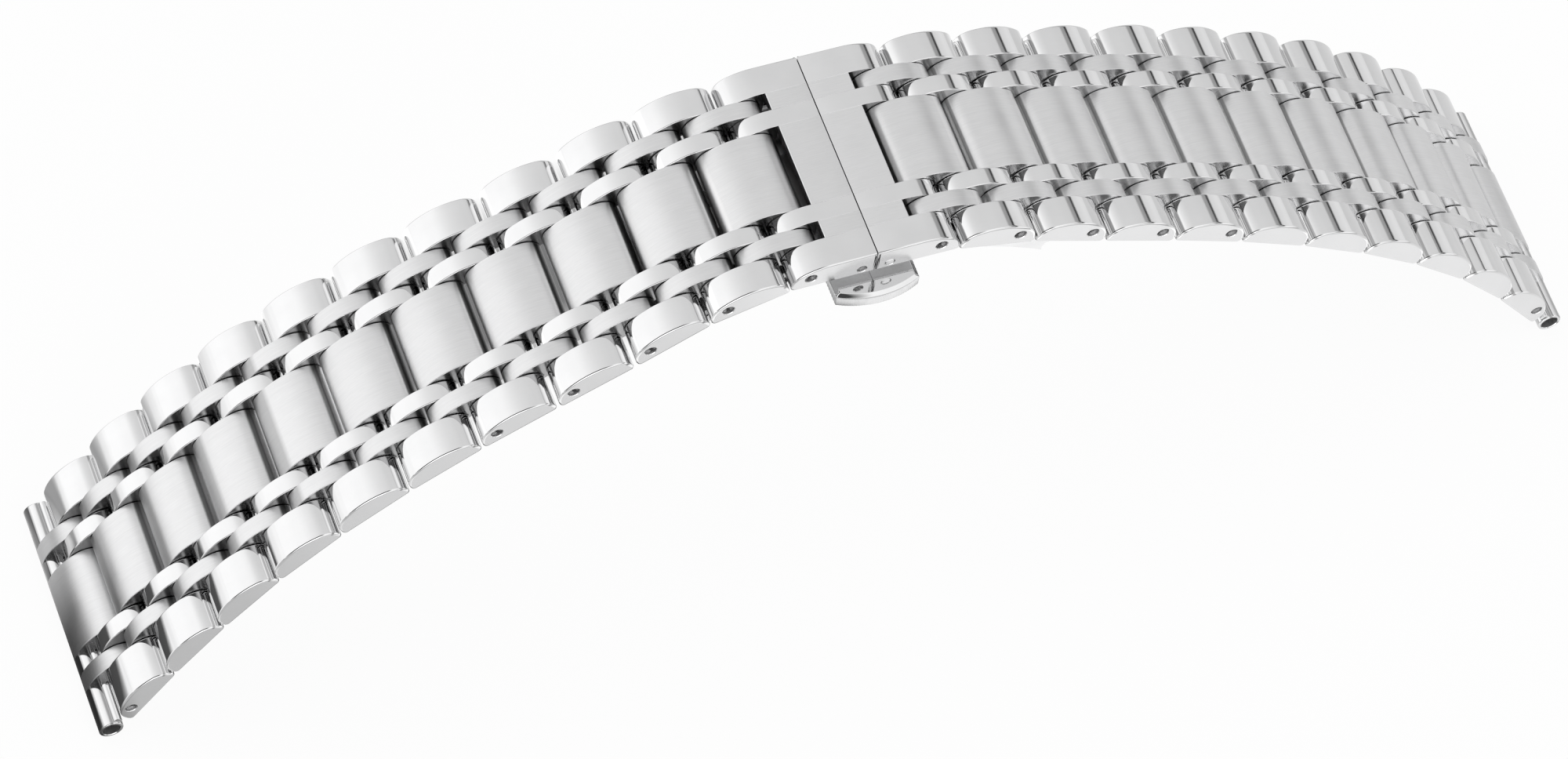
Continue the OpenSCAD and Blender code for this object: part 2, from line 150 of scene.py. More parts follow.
class Shader:
    """A node tree, with short calls for the nodes that this scene uses."""

    def __init__(self, tree):
        self.nodes, self.links = tree.nodes, tree.links

    def feed(self, socket, value):
        """Set a socket's constant, or link another socket to it."""
        if isinstance(value, (int, float, tuple)):
            socket.default_value = value
        else:
            self.links.new(value, socket)

    def math(self, op, a, b=None):
        node = self.nodes.new("ShaderNodeMath")
        node.operation = op
        self.feed(node.inputs[0], a)
        if b is not None:
            self.feed(node.inputs[1], b)
        return node.outputs[0]

    def product(self, first, *others):
        for other in others:
            first = self.math("MULTIPLY", first, other)
        return first

    def spread(self, fac, low, high, from_low=0.3, from_high=0.7):
        """From low to high while fac goes from from_low to from_high, and level beyond them."""
        node = self.nodes.new("ShaderNodeMapRange")
        node.inputs["From Min"].default_value = from_low
        node.inputs["From Max"].default_value = from_high
        node.inputs["To Min"].default_value = low
        node.inputs["To Max"].default_value = high
        self.links.new(fac, node.inputs["Value"])
        return node.outputs[0]

    def rise(self, fac, start, end, top=1.0):
        return self.spread(fac, 0.0, top, start, end)

    def fall(self, fac, start, end, top=1.0):
        return self.spread(fac, top, 0.0, start, end)

    def blend(self, fac, a, b):
        """From colour a to colour b; each is a socket or a grey."""
        node = self.nodes.new("ShaderNodeMix")
        node.data_type = "RGBA"
        self.links.new(fac, node.inputs["Factor"])
        for socket, value in ((node.inputs[6], a), (node.inputs[7], b)):
            self.feed(socket, (value, value, value, 1) if isinstance(value, float) else value)
        return node.outputs[2]

    def noise(self, vector, scale, detail=2.0, rough=0.5):
        """Noise over object coordinates in mm, stretched by scale."""
        mapping = self.nodes.new("ShaderNodeMapping")
        mapping.inputs["Scale"].default_value = [s / MM for s in scale]
        self.links.new(vector, mapping.inputs["Vector"])
        node = self.nodes.new("ShaderNodeTexNoise")
        node.inputs["Scale"].default_value = 1.0
        node.inputs["Detail"].default_value = detail
        node.inputs["Roughness"].default_value = rough
        self.links.new(mapping.outputs[0], node.inputs["Vector"])
        return node.outputs["Fac"]

    def ramp(self, fac, stops, top):
        """A grey ramp through (position, value) stops, with its values as shares of top."""
        node = self.nodes.new("ShaderNodeValToRGB")
        marks = node.color_ramp.elements
        marks[0].position, marks[1].position = 0.0, 1.0
        for mark, value in ((marks[0], stops[0][1]), (marks[1], stops[-1][1])):
            mark.color = (value / top, value / top, value / top, 1)
        for position, value in stops[1:-1]:
            marks.new(position).color = (value / top, value / top, value / top, 1)
        self.links.new(fac, node.inputs[0])
        return node.outputs[0]

    def parts(self, vector):
        node = self.nodes.new("ShaderNodeSeparateXYZ")
        self.links.new(vector, node.inputs[0])
        return node.outputs

    def turned(self, vector, kind, source, target):
        node = self.nodes.new("ShaderNodeVectorTransform")
        node.vector_type = kind
        node.convert_from, node.convert_to = source, target
        self.links.new(vector, node.inputs[0])
        return node.outputs[0]

    def camera_mix(self, otherwise, to_camera, output):
        """One shader for what the camera sees, and another for what the steel mirrors."""
        mix = self.nodes.new("ShaderNodeMixShader")
        self.links.new(self.nodes.new("ShaderNodeLightPath").outputs["Is Camera Ray"], mix.inputs[0])
        self.links.new(otherwise, mix.inputs[1])
        self.links.new(to_camera, mix.inputs[2])
        self.links.new(mix.outputs[0], self.nodes[output].inputs["Surface"])


def new_material(name):
    material = bpy.data.materials.new(name)
    material.use_nodes = True
    shader = Shader(material.node_tree)
    return material, shader, shader.nodes["Principled BSDF"]


def paint_light_and_shade(shader, colour, at, painted_bands):
    """Painted shade and light along a link's flanks, as the gap next to it or its neighbour would give them.
    A band is (grey, strength, half, z0, z1, z2, z3): on the half of the link towards the clasp or away from
    it, the grey comes in from z0 to z1 and goes out from z2 to z3."""
    x, _, z = shader.parts(at)
    soft = 0.3
    for value, strength, half, z0, z1, z2, z3 in painted_bands:
        on = shader.rise(x, (MIDDLE - half * soft) * MM, (MIDDLE + half * soft) * MM, strength)
        on = shader.product(on, shader.rise(z, z0 * MM, z1 * MM), shader.fall(z, z2 * MM, z3 * MM))
        colour = shader.blend(on, colour, value)
    return colour


def worn_normal(shader, at, fall):
    """The normal of a flat underside, turned outwards by fall as its worn edge is."""
    outwards = shader.nodes.new("ShaderNodeCombineXYZ")
    y = shader.parts(at)["Y"]
    shader.links.new(shader.product(shader.math("SIGN", y), fall), outwards.inputs["Y"])
    total = shader.nodes.new("ShaderNodeVectorMath")
    shader.links.new(shader.nodes.new("ShaderNodeNewGeometry").outputs["Normal"], total.inputs[0])
    shader.links.new(shader.turned(outwards.outputs[0], "VECTOR", "OBJECT", "WORLD"), total.inputs[1])
    unit = shader.nodes.new("ShaderNodeVectorMath")
    unit.operation = "NORMALIZE"
    shader.links.new(total.outputs[0], unit.inputs[0])
    return unit.outputs[0]


def tipped_normal(shader, tip):
    """The normal leaned round Y by tip degrees, as on an end piece polished to a steeper slope."""
    normal = shader.nodes.new("ShaderNodeNewGeometry").outputs["Normal"]
    lean = shader.nodes.new("ShaderNodeVectorRotate")
    lean.rotation_type = "Y_AXIS"
    lean.inputs["Angle"].default_value = math.radians(tip)
    shader.links.new(shader.turned(normal, "NORMAL", "WORLD", "OBJECT"), lean.inputs[0])
    return shader.turned(lean.outputs[0], "NORMAL", "OBJECT", "WORLD")


# Lines per mm along X, Y and Z in the finish of steel, and its trace of blue
FINE, HAIR, CLOUD = (0.35, 9.0, 0.35), (0.9, 30.0, 0.9), (0.25, 0.35, 0.25)
TINT = 1.005


def steel(name, tones, rough, grain, bump, streak=0.5, aniso=0.0, painted_bands=(), fall=0.0, tip=0.0):
    """Steel with its finish along X: fine streaks, cloudy tone and a trace of handling.
    grain is the share of lines in it, streak that of the finer ones, and bump their strength and height."""
    material, shader, bsdf = new_material(name)
    at = shader.nodes.new("ShaderNodeTexCoord").outputs["Object"]
    fine = shader.noise(at, FINE, detail=3.0, rough=0.6)
    hair = shader.noise(at, HAIR)
    cloud = shader.noise(at, CLOUD, detail=3.0)
    lines = shader.math("ADD", shader.product(fine, streak), shader.product(hair, 1 - streak))
    mixed = shader.math("ADD", shader.product(lines, grain), shader.product(cloud, 1 - grain))
    colour = shader.blend(shader.rise(mixed, 0.35, 0.65), *[(v, v, v * TINT, 1) for v in tones])
    # Bands of painted shade and painted highlight along the flanks
    if painted_bands:
        colour = paint_light_and_shade(shader, colour, at, painted_bands)
    shader.links.new(colour, bsdf.inputs["Base Color"])
    shader.links.new(shader.spread(cloud, *rough), bsdf.inputs["Roughness"])
    relief = shader.nodes.new("ShaderNodeBump")
    relief.inputs["Strength"].default_value = bump[0]
    relief.inputs["Distance"].default_value = bump[1] * MM
    shader.links.new(lines, relief.inputs["Height"])
    if fall:
        shader.links.new(worn_normal(shader, at, fall), relief.inputs["Normal"])
    if tip:
        shader.links.new(tipped_normal(shader, tip), relief.inputs["Normal"])
    shader.links.new(relief.outputs[0], bsdf.inputs["Normal"])
    bsdf.inputs["Metallic"].default_value = 1.0
    if aniso:
        bsdf.inputs["Anisotropic"].default_value = aniso
        bsdf.inputs["Anisotropic Rotation"].default_value = 0.25
        tangent = shader.nodes.new("ShaderNodeTangent")
        tangent.direction_type = "RADIAL"
        tangent.axis = "Y"
        shader.links.new(tangent.outputs[0], bsdf.inputs["Tangent"])
    return material


# Materials of the links, which mirror another place on each side of the clasp, with painted light and shade
# The greys of painted shade and of painted highlights
SHADE_GREY, HIGHLIGHT_GREY = 0.02, 0.97
INWARD, AWAY = -1, 1
POLISH = {"tones": (0.645, 0.675), "rough": (0.05, 0.09), "grain": 0.25, "bump": (0.12, 0.004)}
BRUSH = {"tones": (0.62, 0.7), "grain": 0.75, "bump": (0.35, 0.012)}
# Bands of painted shade and painted highlight on each kind of link's flanks, different on each side
OUTER_PAINTED_BANDS = {
    LEFT: ((HIGHLIGHT_GREY, 0.8, AWAY, -0.6, -0.45, 0.45, 0.75), (HIGHLIGHT_GREY, 0.4, INWARD, -0.9, -0.8, -0.45, -0.3),
           (SHADE_GREY, 0.5, INWARD, -0.27, -0.2, -0.08, 0.0)),
    RIGHT: ((HIGHLIGHT_GREY, 0.8, AWAY, -0.8, -0.6, 0.5, 0.8), (HIGHLIGHT_GREY, 0.8, INWARD, -0.9, -0.8, -0.35, -0.25),
            (SHADE_GREY, 0.5, INWARD, -0.18, -0.1, 0.06, 0.12))}
SLIM_PAINTED_BANDS = {
    LEFT: ((SHADE_GREY, 0.8, INWARD, -0.6, -0.5, 0.1, 0.26), (HIGHLIGHT_GREY, 0.8, AWAY, 0.25, 0.35, 0.6, 0.8)),
    RIGHT: ((SHADE_GREY, 0.4, INWARD, -0.35, -0.25, 0.1, 0.25), (HIGHLIGHT_GREY, 0.8, AWAY, -0.8, -0.6, 0.5, 0.8),
            (HIGHLIGHT_GREY, 0.7, INWARD, -1.0, -0.9, -0.5, -0.4))}
SATIN_PAINTED_BANDS = {
    LEFT: ((SHADE_GREY, 0.85, INWARD, -1.2, -1.1, 0.0, 0.14), (HIGHLIGHT_GREY, 0.8, AWAY, -0.5, -0.2, 0.25, 0.6)),
    RIGHT: ((HIGHLIGHT_GREY, 0.8, INWARD, -1.0, -0.9, -0.48, -0.4), (SHADE_GREY, 0.6, INWARD, -0.36, -0.28, -0.06, 0.05),
            (HIGHLIGHT_GREY, 0.85, AWAY, -0.8, -0.6, 0.5, 0.8))}
# Painted shade on the flanks of the steep left leg's links and of the end pieces
LEG_PAINTED_SHADE = ((SHADE_GREY, 0.75, INWARD, -0.4, -0.25, 0.04, 0.2), (SHADE_GREY, 0.35, AWAY, -0.6, -0.4, 1.05, 1.17))
END_PAINTED_SHADE = ((SHADE_GREY, 0.65, AWAY, 0.78, 0.87, 1.2, 1.3), (SHADE_GREY, 0.5, AWAY, 0.2, 0.3, 0.42, 0.52))
# The inner walls' grey is painted shade on the left and painted light on the right
INNER_SHADED_AND_LIT_TONES = {LEFT: (0.45, 0.51), RIGHT: (0.86, 0.92)}
INNER_NAME = {LEFT: "inner_satin", RIGHT: "inner_satin_right"}
OUTER, SLIM, SATIN, INNER = {}, {}, {}, {}
for side in (LEFT, RIGHT):
    OUTER[side] = steel(NAME[side] + "_outer_polished", **POLISH, painted_bands=OUTER_PAINTED_BANDS[side])
    SLIM[side] = steel(NAME[side] + "_slim_polished", **POLISH, painted_bands=SLIM_PAINTED_BANDS[side])
    SATIN[side] = steel(NAME[side] + "_satin", **BRUSH, rough=(0.38, 0.44), aniso=0.55,
                        painted_bands=SATIN_PAINTED_BANDS[side])
    INNER[side] = steel(INNER_NAME[side], INNER_SHADED_AND_LIT_TONES[side], (0.2, 0.3), 0.4, (0.2, 0.008))
LEG_SATIN = steel("leg_satin", **BRUSH, rough=(0.36, 0.42), aniso=0.5, painted_bands=LEG_PAINTED_SHADE)
END_SATIN = steel("end_satin", **BRUSH, rough=(0.36, 0.42), aniso=0.55, tip=11.0)
END_POLISH = steel("end_polished", **POLISH, tip=11.0, painted_bands=END_PAINTED_SHADE)
SIDE = steel("side_satin", (0.64, 0.67), (0.2, 0.26), 0.5, (0.15, 0.008), streak=0.6)
BORE = steel("bore_satin", (0.55, 0.63), (0.4, 0.5), 0.4, (0.3, 0.01))
PIN = steel("pin_steel", (0.72, 0.82), (0.12, 0.22), 0.4, (0.2, 0.006))

# Materials of the clasp
POLISHED = steel("polished_steel", **POLISH)
SATIN_TOP = steel("cover_satin", (0.62, 0.69), (0.3, 0.36), 0.75, (0.35, 0.012), aniso=0.6)
UNDER = steel("underside_satin", (0.62, 0.72), (0.3, 0.36), 0.75, (0.35, 0.012), fall=1.1)
SPRING = steel("spring_steel", (0.42, 0.5), (0.2, 0.3), 0.4, (0.2, 0.004))
ARM = steel("arm_polished", (0.32, 0.4), (0.1, 0.18), 0.4, (0.2, 0.006))
PLATE = steel("plate_satin", (0.72, 0.8), (0.25, 0.34), 0.6, (0.3, 0.01), aniso=0.5)
BUTTON = steel("button_polished", (0.64, 0.68), (0.04, 0.08), 0.3, (0.08, 0.003))
KNURL = steel("knurled_steel", (0.6, 0.72), (0.2, 0.34), 0.5, (0.3, 0.01))


def arc(cx, cz, r, a0, a1, n):
    """Points of an arc in X and Z; angles in degrees from +Z towards +X."""
    out = []
    for k in range(n + 1):
        a = math.radians(a0 + (a1 - a0) * k / n)
        out.append((cx + r * math.sin(a), cz + r * math.cos(a)))
    return out


def tidy(points):
    """The outline without points that fall on their neighbour."""
    same = 1e-4
    out = []
    for p in points:
        if not out or math.dist(p, out[-1]) > same:
            out.append(p)
    if math.dist(out[0], out[-1]) < same:
        out.pop()
    return out


def inset(poly, d):
    """The closed outline moved inwards by d. It runs clockwise, seen with X right and Z up."""
    if d == 0:
        return list(poly)
    out = []
    n = len(poly)
    for k in range(n):
        (ax, az), (bx, bz), (cx, cz) = poly[k - 1], poly[k], poly[(k + 1) % n]
        u = Vector((bx - ax, bz - az)).normalized()
        v = Vector((cx - bx, cz - bz)).normalized()
        nu, nv = Vector((u.y, -u.x)), Vector((v.y, -v.x))
        mid = nu + nv
        mid = mid.normalized() if mid.length > 1e-6 else nu
        reach = d / max(mid.dot(nu), 0.35)
        out.append((bx + mid.x * reach, bz + mid.y * reach))
    return out


def fixed(v):
    return lambda x: v


def bridge(bm, a, b, mat=0, smooth=True):
    """Faces between two rings of vertices."""
    n = len(a)
    for i in range(n):
        j = (i + 1) % n
        f = bm.faces.new((a[i], a[j], b[j], b[i]))
        f.material_index = mat
        f.smooth = smooth


def let_in(bm, hole, y, flip, mat):
    """A round hole (x, z, radius, depth) let into an end face. Gives the ring at its mouth."""
    hx, hz, r, depth = hole
    into = -1 if flip else 1
    lip = 0.05
    count = 24 if r < 0.6 else 48
    mouth = last = None
    for rr, dd in ((r + lip, 0.0), (r, lip), (r, depth)):
        circle = []
        for q in range(count):
            a = 2 * math.pi * q / count
            px, pz = hx + rr * math.sin(a), hz + rr * math.cos(a)
            circle.append(bm.verts.new((px * MM, (y(px) + into * dd) * MM, pz * MM)))
        if last is None:
            mouth = circle
        elif flip:
            bridge(bm, circle, last, mat if dd == lip else IN_HOLE)
        else:
            bridge(bm, last, circle, mat if dd == lip else IN_HOLE)
        last = circle
    f = bm.faces.new(last if flip else list(reversed(last)))
    f.material_index = IN_HOLE
    return mouth


def end_face(bm, ring, y, holes, flip, mat):
    """The flat end of a block, round its holes. flip is for the end at the greater Y."""
    loops = [ring] + [let_in(bm, hole, y, flip, mat) for hole in holes]
    verts = [v for loop in loops for v in loop]
    for tri in tessellate_polygon([[Vector((v.co.x, v.co.z, 0)) for v in loop] for loop in loops]):
        try:
            f = bm.faces.new([verts[t] for t in tri])
        except ValueError:
            continue
        f.material_index = mat
        f.smooth = True
        f.normal_update()
        if (f.normal.y > 0) != flip:
            f.normal_flip()


def block(bm, poly, y0, y1, roll0, roll1, mats, holes0=(), holes1=(), steps=5):
    """A profile carried from y0(x) to y1(x) with rolled edges, and round holes let into its end faces.
    mats are the material numbers of the walls and of both end faces. A hole is (x, z, radius, depth)."""
    ends = []
    for y, roll, sign in ((y0, roll0, 1), (y1, roll1, -1)):
        stations = [(y, 0.0, roll + END_LEAD)]
        for k in range(steps + 1):
            t = math.pi / 2 * k / steps
            stations.append((y, sign * roll * (1 - math.cos(t)), roll * (1 - math.sin(t))))
        stations.append((y, sign * (roll + WALL_LEAD), 0.0))
        ends.append(stations)
    rings = []
    for y, dy, d in ends[0] + list(reversed(ends[1])):
        rings.append([bm.verts.new((x * MM, (y(x) + dy) * MM, z * MM)) for x, z in inset(poly, d)])
    for k in range(len(rings) - 1):
        bridge(bm, rings[k], rings[k + 1], mats[1 if k == 0 else 2 if k == len(rings) - 2 else 0])
    end_face(bm, rings[0], y0, holes0, False, mats[1])
    end_face(bm, rings[-1], y1, holes1, True, mats[2])


def rod(bm, x, z, r, y0, y1, mat=0, round_end=0.06):
    """A round bar across the bracelet with softened ends."""
    count = 24
    slight = round_end * 0.3
    last = None
    for y, rr in ((y0, r - round_end), (y0 + slight, r - slight), (y0 + round_end, r),
                  (y1 - round_end, r), (y1 - slight, r - slight), (y1, r - round_end)):
        ring = [bm.verts.new(((x + rr * math.sin(2 * math.pi * q / count)) * MM, y * MM,
                              (z + rr * math.cos(2 * math.pi * q / count)) * MM)) for q in range(count)]
        if last:
            bridge(bm, last, ring, mat)
        else:
            bm.faces.new(list(reversed(ring))).material_index = mat
        last = ring
    bm.faces.new(last).material_index = mat


def prong(bm, x, z, r, y0, y1, way):
    """Half of a split pin's end: a bar of D section on one side of the slit, rounded at its tip."""
    a = math.asin(SPLIT_W / 2 / r)
    count = 12
    last = None
    sign = 1 if y1 > y0 else -1
    stations = [(y0, r)] + [(y1 - sign * back, r - off) for back, off in ((0.1, 0), (0.03, 0.05), (0, 0.12))]
    for y, rr in stations:
        ring = []
        for q in range(count + 1):
            t = a + (math.pi - 2 * a) * q / count
            px = max(rr * math.sin(t), SPLIT_W / 2)
            ring.append(bm.verts.new(((x + way * px) * MM, y * MM, (z + rr * math.cos(t)) * MM)))
        if last:
            for q in range(count + 1):
                w = (q + 1) % (count + 1)
                bm.faces.new((last[q], last[w], ring[w], ring[q])).smooth = q < count
        else:
            bm.faces.new(ring)
        last = ring
    bm.faces.new(last)


def pin(bm, x, z, half, split):
    """A link pin; the prongs of a split one start just inside its solid middle."""
    if not split:
        rod(bm, x, z, PIN_R, -half, half)
        return
    middle = half - SPLIT_L
    rod(bm, x, z, PIN_R, -middle, middle, round_end=0.01)
    for s in (-1, 1):
        for way in (-1, 1):
            prong(bm, x, z, PIN_R, s * (middle - 0.02), s * half, way)


def finish_mesh(bm, name, body, materials, matrix, replaces=None):
    """The mesh as an object that rides on its body."""
    bmesh.ops.recalc_face_normals(bm, faces=bm.faces)
    mesh = bpy.data.meshes.new(name)
    bm.to_mesh(mesh)
    bm.free()
    for m in materials:
        mesh.materials.append(m)
    mesh.set_sharp_from_angle(angle=math.radians(SHARP_TURN))
    obj = bpy.data.objects.new(name, mesh)
    bpy.context.scene.collection.objects.link(obj)
    placed = matrix.copy()
    placed.translation = placed.translation * MM
    obj.matrix_world = placed
    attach(obj, body)
    if replaces:
        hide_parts(replaces)
    return obj


def crown(dx, drop, r):
    """Radius and half angle of an arc that runs into a round of radius r, dx away and drop lower."""
    big = (drop * drop + dx * dx - r * r) / (2 * (drop - r))
    return big, math.degrees(math.asin(dx / (big - r)))


CROWN_R, CROWN_TURN = crown(MIDDLE - END_IN, THICK - END_H, END_R)


def left_round():
    """A link's drawn-in flank, from its rounded lower corner up to its crown."""
    z = END_H - PIN_H
    corner_z = CORNER - PIN_H
    inner = math.sqrt((END_R - CORNER) ** 2 - (corner_z - z) ** 2)
    return arc(END_IN - inner, corner_z, CORNER, -180, -90, 5) + arc(END_IN, z, END_R, -90, -CROWN_TURN, 12)


def right_round():
    return [(2 * MIDDLE - x, z) for x, z in reversed(left_round())]


def domed_top(a0, a1, n):
    return arc(MIDDLE, PIN_UP - CROWN_R, CROWN_R, a0, a1, n)


def link_outline():
    return tidy(left_round() + domed_top(-CROWN_TURN, CROWN_TURN, 24) + right_round())


def end_outline():
    """The last link's outline, which runs down into the spring bar tube."""
    far, far_turn = crown(TUBE_X - MIDDLE, PIN_UP - TUBE_Z, TUBE_R)
    return tidy(left_round() + domed_top(-CROWN_TURN, 0, 12)
                + arc(MIDDLE, PIN_UP - far, far, 0, far_turn, 12)
                + arc(TUBE_X, TUBE_Z, TUBE_R, far_turn, TUBE_END, 20) + [(TUBE_FOOT_X, -PIN_H)])


LINK, END = link_outline(), end_outline()


def centre_blocks(bm, outline):
    """The wide brushed link and the slim brushed ones, which centre rows and end pieces share."""
    block(bm, outline, fixed(-CENTRE_OUT), fixed(CENTRE_OUT), WIDE_EDGE, WIDE_EDGE, (0, 1, 1))
    for s in (-1, 1):
        lo, hi = sorted((s * BRUSHED_IN, s * BRUSHED_OUT))
        block(bm, outline, fixed(lo), fixed(hi), BRUSHED_EDGE, BRUSHED_EDGE, (0, 1, 1))


def outer_row(side, k):
    """Two outer links and two slim polished links, with their pins."""
    i = 2 * k - 1
    node = f"{NAME[side]}_outer_row_{k:02d}"
    is_open = k <= REMOVABLE or k == ROWS
    holes = [(HALF, 0.0, PIN_R + PIN_GAP, PIN_HOLE)] if is_open else []

    def edge(x):
        return half_w(i + x / HALF)

    bm = bmesh.new()
    block(bm, LINK, fixed(OUTER_IN), edge, POLISHED_EDGE, OUTER_EDGE, (0, 2, 1), holes1=holes)
    block(bm, LINK, lambda x: -edge(x), fixed(-OUTER_IN), OUTER_EDGE, POLISHED_EDGE, (0, 1, 2), holes0=holes)
    for s in (-1, 1):
        lo, hi = sorted((s * POLISHED_IN, s * POLISHED_OUT))
        block(bm, LINK, fixed(lo), fixed(hi), POLISHED_EDGE, POLISHED_EDGE, (4, 2, 2))
    materials = (OUTER[side], SIDE, INNER[side], BORE, SLIM[side])
    finish_mesh(bm, node + "_links", node, materials, at_link(side, i), replaces=node)
    closed = PIN_WALL + PIN_CLEAR
    bm = bmesh.new()
    pin(bm, 0, 0, half_w(i) - closed, False)
    pin(bm, HALF, 0, half_w(i + 1) - (PIN_RECESS if is_open else closed), is_open)
    finish_mesh(bm, node + "_pins", node, (PIN,), at_link(side, i))


LEG_START = 7


def centre_row(side, k):
    """One wide and two slim brushed links. The steep ones of the left leg mirror another place, with painted
    shade.
    """
    node = f"{NAME[side]}_centre_row_{k:02d}"
    steep = side == LEFT and k >= LEG_START
    bm = bmesh.new()
    centre_blocks(bm, LINK)
    finish_mesh(bm, node + "_links", node, (LEG_SATIN if steep else SATIN[side], INNER[side]),
                at_link(side, 2 * k - 2), replaces=node)


def end_piece(side):
    """The last centre row in one with the tube for the spring bar."""
    node = f"{NAME[side]}_end_piece"
    tube = tidy(arc(TUBE_X, TUBE_Z, TUBE_R, 0, 360, 64))
    half = LUG_W / 2
    bore = [(TUBE_X, TUBE_Z, BORE_R, TUBE_HOLE)]
    bead = half - 0.15
    bm = bmesh.new()
    centre_blocks(bm, END)
    block(bm, tube, fixed(-half), fixed(half), TUBE_EDGE, TUBE_EDGE, (2, 2, 2), holes0=bore, holes1=bore)
    rod(bm, TUBE_X - TUBE_R, TUBE_Z, BEAD_R, -bead, bead, mat=2)
    finish_mesh(bm, node + "_links", node, (END_SATIN, INNER[side], END_POLISH, BORE),
                at_link(side, SPANS - 1), replaces=node)


# A cover's outlines: its end beside the links, its side walls, and the thin roof over the folded clasp
SHIFT = COVER_PIN_X - HALF
OVER = [(SHIFT + x, z - PIN_UP) for x, z in domed_top(0, CROWN_TURN, 12) + right_round()]
SEAM_X = SEAM / 2
SEAM_ROUND = [(SEAM_X + right * SEAM_EDGE, -down * SEAM_EDGE) for right, down in ((0, 1), (0.3, 0.3), (1, 0))]
PRONG = tidy([(SEAM_X, -ROOF)] + SEAM_ROUND + OVER + [(NOTCH_X, -THICK), (NOTCH_X, -ROOF)])
FULL = tidy([(SEAM_X, -THICK)] + SEAM_ROUND + OVER)
ROOF_PLATE = tidy([(SEAM_X, -ROOF)] + SEAM_ROUND
                  + [(NOTCH_X - NOTCH_EDGE, 0.0), (NOTCH_X, -NOTCH_EDGE), (NOTCH_X, -ROOF)])


def cover(side):
    node = f"{NAME[side]}_cover"
    e, w, j = COVER_EDGE, COVER_SIDE_EDGE, JOINT_EDGE
    holes = [(COVER_PIN_X, -PIN_UP, PIN_R + PIN_GAP, PIN_HOLE),
             (BLADE_X, -BLADE_Z, BLADE_R + PIN_GAP, BLADE_HOLE)]
    bm = bmesh.new()
    block(bm, ROOF_PLATE, fixed(-POLISHED_IN), fixed(POLISHED_IN), e, e, (0, 1, 1), steps=1)
    for s in (-1, 1):
        lo, hi = sorted((s * POLISHED_IN, s * POLISHED_OUT))
        block(bm, PRONG, fixed(lo), fixed(hi), e, e, (2, 1, 1), steps=1)
        lo, hi = sorted((s * POLISHED_OUT, s * OUTER_IN))
        block(bm, ROOF_PLATE, fixed(lo), fixed(hi), e, e, (0, 1, 1), steps=1)
        if s > 0:
            block(bm, PRONG, fixed(OUTER_IN), fixed(CHANNEL), e, j, (2, 1, 1), steps=1)
            block(bm, FULL, fixed(CHANNEL), fixed(CLASP_W / 2), j, w, (2, 1, 1), holes1=holes)
        else:
            block(bm, PRONG, fixed(-CHANNEL), fixed(-OUTER_IN), j, e, (2, 1, 1), steps=1)
            block(bm, FULL, fixed(-CLASP_W / 2), fixed(-CHANNEL), w, j, (2, 1, 1), holes0=holes)
    bm.normal_update()
    # The flat underside has a look of its own
    for f in bm.faces:
        if f.material_index == 2 and abs(f.calc_center_median().z / MM + THICK) < 0.01:
            f.material_index = 4
    materials = (SATIN_TOP, SIDE, POLISHED, BORE, UNDER)
    finish_mesh(bm, node + "_roof", node, materials, in_place(side), replaces=node)
    blade = CLASP_W / 2 - BLADE_RECESS[side]
    bm = bmesh.new()
    pin(bm, COVER_PIN_X, -PIN_UP, CLASP_W / 2 - PIN_RECESS, True)
    rod(bm, BLADE_X, -BLADE_Z, BLADE_R, -blade, blade)
    finish_mesh(bm, node + "_rods", node, (PIN,), in_place(side), replaces=node + "_pins")


# A button's head from its top down: depth, inset and ridge; its knurled rim runs between two of them
HEAD = ((0.0, 0.42, 0), (0.0, 0.4, 0), (0.03, 0.34, 0), (0.11, 0.2, 0), (0.16, 0.14, 0), (0.2, 0.06, 0),
        (0.3, 0.03, 0.03), (0.36, 0.03, 0.03), (1.2, 0.03, 0.03), (1.3, 0.05, 0.02), (BUTTON_H, 0.16, 0),
        (BUTTON_H, 0.2, 0))
RIM_FIRST, RIM_LAST = 5, 8


def button_outline(d, ridge=0.0):
    """Plan of a button's head, d inside its edge; its sides and round front are knurled by ridge."""
    front_r = ((BUTTON_L / 2) ** 2 + BULGE ** 2) / (2 * BULGE)
    centre_y = FRONT_CHORD + BULGE - front_r
    half = BUTTON_L / 2 - d
    back_y = BUTTON_IN + d
    side_y = centre_y + math.sqrt((front_r - d) ** 2 - half ** 2)
    side_steps, front_steps = 14, 64
    side = []
    for k in range(1, side_steps):
        side.append((half + (ridge if k % 2 else 0), back_y + (side_y - back_y) * k / side_steps))
    reach = math.asin(half / (front_r - d))
    front = []
    for k in range(front_steps + 1):
        a = -reach + 2 * reach * k / front_steps
        r = front_r - d + (ridge if k % 2 else 0)
        front.append((r * math.sin(a), centre_y + r * math.cos(a)))
    return [(-half, back_y)] + [(-x, y) for x, y in side] + front + side[::-1] + [(half, back_y)]


